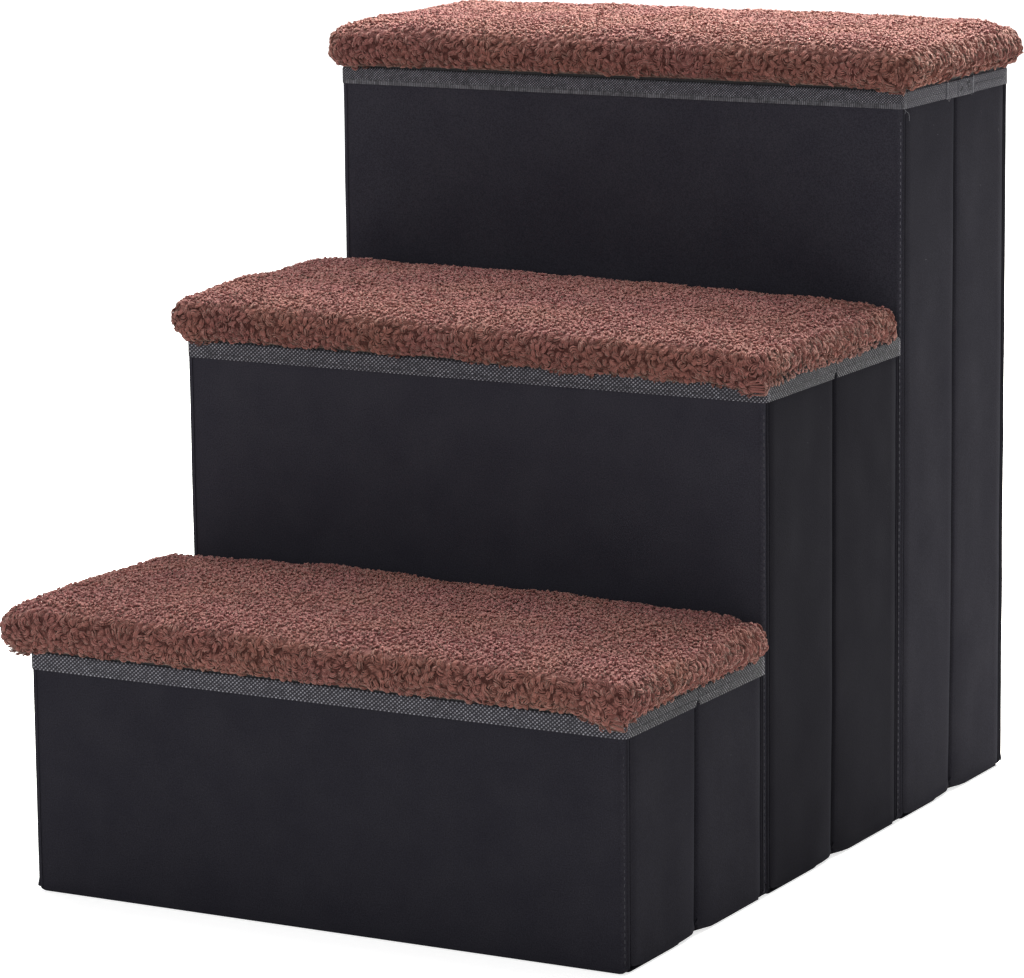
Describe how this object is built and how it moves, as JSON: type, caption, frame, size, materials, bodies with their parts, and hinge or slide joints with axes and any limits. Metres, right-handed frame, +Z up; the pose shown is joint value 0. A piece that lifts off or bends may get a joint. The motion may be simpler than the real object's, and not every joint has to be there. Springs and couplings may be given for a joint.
{
  "type": "pet stairs",
  "caption": "Pet stairs made of cloth-covered storage boxes of rising height that fold flat, each with a loose fleece-covered lid as its tread.",
  "frame": {"origin": "on the floor, below the middle of the outline (bottom centre of the bounding box)", "axes": "+Z up, -Y towards the lowest box (the front), +X towards the right side seen from the front"},
  "size_m": [0.423, 0.563, 0.4893],
  "materials": {
    "cloth": "napped, matt",
    "binding": "woven tape",
    "fibreboard": "raw",
    "base": "lining over board",
    "lining": "lining over board",
    "foam": "open-cell foam",
    "fleece": "curly pile"
  },
  "bodies": {
    "upper_back": {"upper_back_board": "fibreboard", "upper_back_cover": "cloth", "upper_back_tape": "binding", "upper_floor_cloth": "cloth"},
    "middle_upper_wall": {"upper_front_board": "fibreboard", "upper_front_cover": "cloth", "upper_front_tape": "binding", "middle_back_board": "fibreboard", "middle_back_cover": "cloth", "middle_back_tape": "binding", "middle_floor_cloth": "cloth"},
    "lower_middle_wall": {"middle_front_board": "fibreboard", "middle_front_cover": "cloth", "middle_front_tape": "binding", "lower_back_board": "fibreboard", "lower_back_cover": "cloth", "lower_back_tape": "binding", "lower_floor_cloth": "cloth"},
    "lower_front": {"lower_front_board": "fibreboard", "lower_front_cover": "cloth", "lower_front_tape": "binding"},
    "upper_right_back": {"upper_right_back_wall": "cloth", "upper_right_back_tape": "binding"},
    "upper_right_front": {"upper_right_front_wall": "cloth", "upper_right_front_tape": "binding"},
    "upper_left_back": {"upper_left_back_wall": "cloth", "upper_left_back_tape": "binding"},
    "upper_left_front": {"upper_left_front_wall": "cloth", "upper_left_front_tape": "binding"},
    "upper_back_flap": {"upper_back_flap": "base"},
    "upper_front_flap": {"upper_front_flap": "base"},
    "upper_lid": {"upper_lid_board": "lining", "upper_lid_pad": "foam", "upper_lid_fleece": "fleece"},
    "middle_right_back": {"middle_right_back_wall": "cloth", "middle_right_back_tape": "binding"},
    "middle_right_front": {"middle_right_front_wall": "cloth", "middle_right_front_tape": "binding"},
    "middle_left_back": {"middle_left_back_wall": "cloth", "middle_left_back_tape": "binding"},
    "middle_left_front": {"middle_left_front_wall": "cloth", "middle_left_front_tape": "binding"},
    "middle_back_flap": {"middle_back_flap": "base"},
    "middle_front_flap": {"middle_front_flap": "base"},
    "middle_lid": {"middle_lid_board": "lining", "middle_lid_pad": "foam", "middle_lid_fleece": "fleece"},
    "lower_right_back": {"lower_right_back_wall": "cloth", "lower_right_back_tape": "binding"},
    "lower_right_front": {"lower_right_front_wall": "cloth", "lower_right_front_tape": "binding"},
    "lower_left_back": {"lower_left_back_wall": "cloth", "lower_left_back_tape": "binding"},
    "lower_left_front": {"lower_left_front_wall": "cloth", "lower_left_front_tape": "binding"},
    "lower_back_flap": {"lower_back_flap": "base"},
    "lower_front_flap": {"lower_front_flap": "base"},
    "lower_lid": {"lower_lid_board": "lining", "lower_lid_pad": "foam", "lower_lid_fleece": "fleece"}
  },
  "joints": [
    {"name": "upper_fold", "type": "hinge", "parent": "upper_back", "child": "upper_right_back", "pos_m": [0.19285, 0.26145, 0.231], "axis": [0, 0, -1], "range_deg": [0, 88], "deforming": ["upper_floor_cloth"]},
    {"name": "upper_right_crease", "type": "hinge", "parent": "upper_right_back", "child": "upper_right_front", "pos_m": [0.20085, 0.1873, 0.231], "axis": [0, 0, 1], "range_deg": [0, 176]},
    {"name": "upper_front_hinge", "type": "hinge", "parent": "upper_right_front", "child": "middle_upper_wall", "pos_m": [0.19285, 0.11315, 0.231], "axis": [0, 0, -1], "range_deg": [0, 88]},
    {"name": "upper_left_back_hinge", "type": "hinge", "parent": "upper_back", "child": "upper_left_back", "pos_m": [-0.19285, 0.26145, 0.231], "axis": [0, 0, 1], "range_deg": [0, 88]},
    {"name": "upper_left_crease", "type": "hinge", "parent": "upper_left_back", "child": "upper_left_front", "pos_m": [-0.20085, 0.1873, 0.231], "axis": [0, 0, -1], "range_deg": [0, 176]},
    {"name": "upper_back_flap_hinge", "type": "hinge", "parent": "upper_back", "child": "upper_back_flap", "pos_m": [0, 0.26395, 0.0047], "axis": [-1, 0, 0], "range_deg": [0, 88]},
    {"name": "upper_front_flap_hinge", "type": "hinge", "parent": "middle_upper_wall", "child": "upper_front_flap", "pos_m": [0, 0.11065, 0.0047], "axis": [1, 0, 0], "range_deg": [0, 88]},
    {"name": "upper_lid_lift", "type": "slide", "parent": "upper_back", "child": "upper_lid", "axis": [0, 0.8, -0.6], "range_m": [-0.24, 0]},
    {"name": "middle_fold", "type": "hinge", "parent": "middle_upper_wall", "child": "middle_right_back", "pos_m": [0.19285, 0.09565, 0.155], "axis": [0, 0, -1], "range_deg": [0, 88], "deforming": ["middle_floor_cloth"]},
    {"name": "middle_right_crease", "type": "hinge", "parent": "middle_right_back", "child": "middle_right_front", "pos_m": [0.20085, 0.0075, 0.155], "axis": [0, 0, 1], "range_deg": [0, 176]},
    {"name": "middle_front_hinge", "type": "hinge", "parent": "middle_right_front", "child": "lower_middle_wall", "pos_m": [0.19285, -0.08065, 0.155], "axis": [0, 0, -1], "range_deg": [0, 88]},
    {"name": "middle_left_back_hinge", "type": "hinge", "parent": "middle_upper_wall", "child": "middle_left_back", "pos_m": [-0.19285, 0.09565, 0.155], "axis": [0, 0, 1], "range_deg": [0, 88]},
    {"name": "middle_left_crease", "type": "hinge", "parent": "middle_left_back", "child": "middle_left_front", "pos_m": [-0.20085, 0.0075, 0.155], "axis": [0, 0, -1], "range_deg": [0, 176]},
    {"name": "middle_back_flap_hinge", "type": "hinge", "parent": "middle_upper_wall", "child": "middle_back_flap", "pos_m": [0, 0.09815, 0.0047], "axis": [-1, 0, 0], "range_deg": [0, 88]},
    {"name": "middle_front_flap_hinge", "type": "hinge", "parent": "lower_middle_wall", "child": "middle_front_flap", "pos_m": [0, -0.08315, 0.0047], "axis": [1, 0, 0], "range_deg": [0, 88]},
    {"name": "middle_lid_lift", "type": "slide", "parent": "middle_upper_wall", "child": "middle_lid", "axis": [0, 0.8, -0.6], "range_m": [-0.24, 0]},
    {"name": "lower_fold", "type": "hinge", "parent": "lower_middle_wall", "child": "lower_right_back", "pos_m": [0.19285, -0.09815, 0.074], "axis": [0, 0, -1], "range_deg": [0, 88], "deforming": ["lower_floor_cloth"]},
    {"name": "lower_right_crease", "type": "hinge", "parent": "lower_right_back", "child": "lower_right_front", "pos_m": [0.20085, -0.1798, 0.074], "axis": [0, 0, 1], "range_deg": [0, 176]},
    {"name": "lower_front_hinge", "type": "hinge", "parent": "lower_right_front", "child": "lower_front", "pos_m": [0.19285, -0.26145, 0.074], "axis": [0, 0, -1], "range_deg": [0, 88]},
    {"name": "lower_left_back_hinge", "type": "hinge", "parent": "lower_middle_wall", "child": "lower_left_back", "pos_m": [-0.19285, -0.09815, 0.074], "axis": [0, 0, 1], "range_deg": [0, 88]},
    {"name": "lower_left_crease", "type": "hinge", "parent": "lower_left_back", "child": "lower_left_front", "pos_m": [-0.20085, -0.1798, 0.074], "axis": [0, 0, -1], "range_deg": [0, 176]},
    {"name": "lower_back_flap_hinge", "type": "hinge", "parent": "lower_middle_wall", "child": "lower_back_flap", "pos_m": [0, -0.09565, 0.0047], "axis": [-1, 0, 0], "range_deg": [0, 88]},
    {"name": "lower_front_flap_hinge", "type": "hinge", "parent": "lower_front", "child": "lower_front_flap", "pos_m": [0, -0.26395, 0.0047], "axis": [1, 0, 0], "range_deg": [0, 88]},
    {"name": "lower_lid_lift", "type": "slide", "parent": "lower_middle_wall", "child": "lower_lid", "axis": [0, 0.8, -0.6], "range_m": [-0.24, 0]}
  ],
  "couplings": [
    {"joint": "upper_right_crease", "follows": "upper_fold", "ratio": 2},
    {"joint": "upper_front_hinge", "follows": "upper_fold", "ratio": 1},
    {"joint": "upper_left_crease", "follows": "upper_fold", "ratio": 2},
    {"joint": "upper_left_back_hinge", "follows": "upper_fold", "ratio": 1},
    {"joint": "upper_back_flap_hinge", "follows": "upper_fold", "ratio": 1},
    {"joint": "upper_front_flap_hinge", "follows": "upper_fold", "ratio": 1},
    {"joint": "middle_right_crease", "follows": "middle_fold", "ratio": 2},
    {"joint": "middle_front_hinge", "follows": "middle_fold", "ratio": 1},
    {"joint": "middle_left_crease", "follows": "middle_fold", "ratio": 2},
    {"joint": "middle_left_back_hinge", "follows": "middle_fold", "ratio": 1},
    {"joint": "middle_back_flap_hinge", "follows": "middle_fold", "ratio": 1},
    {"joint": "middle_front_flap_hinge", "follows": "middle_fold", "ratio": 1},
    {"joint": "lower_right_crease", "follows": "lower_fold", "ratio": 2},
    {"joint": "lower_front_hinge", "follows": "lower_fold", "ratio": 1},
    {"joint": "lower_left_crease", "follows": "lower_fold", "ratio": 2},
    {"joint": "lower_left_back_hinge", "follows": "lower_fold", "ratio": 1},
    {"joint": "lower_back_flap_hinge", "follows": "lower_fold", "ratio": 1},
    {"joint": "lower_front_flap_hinge", "follows": "lower_fold", "ratio": 1}
  ]
}
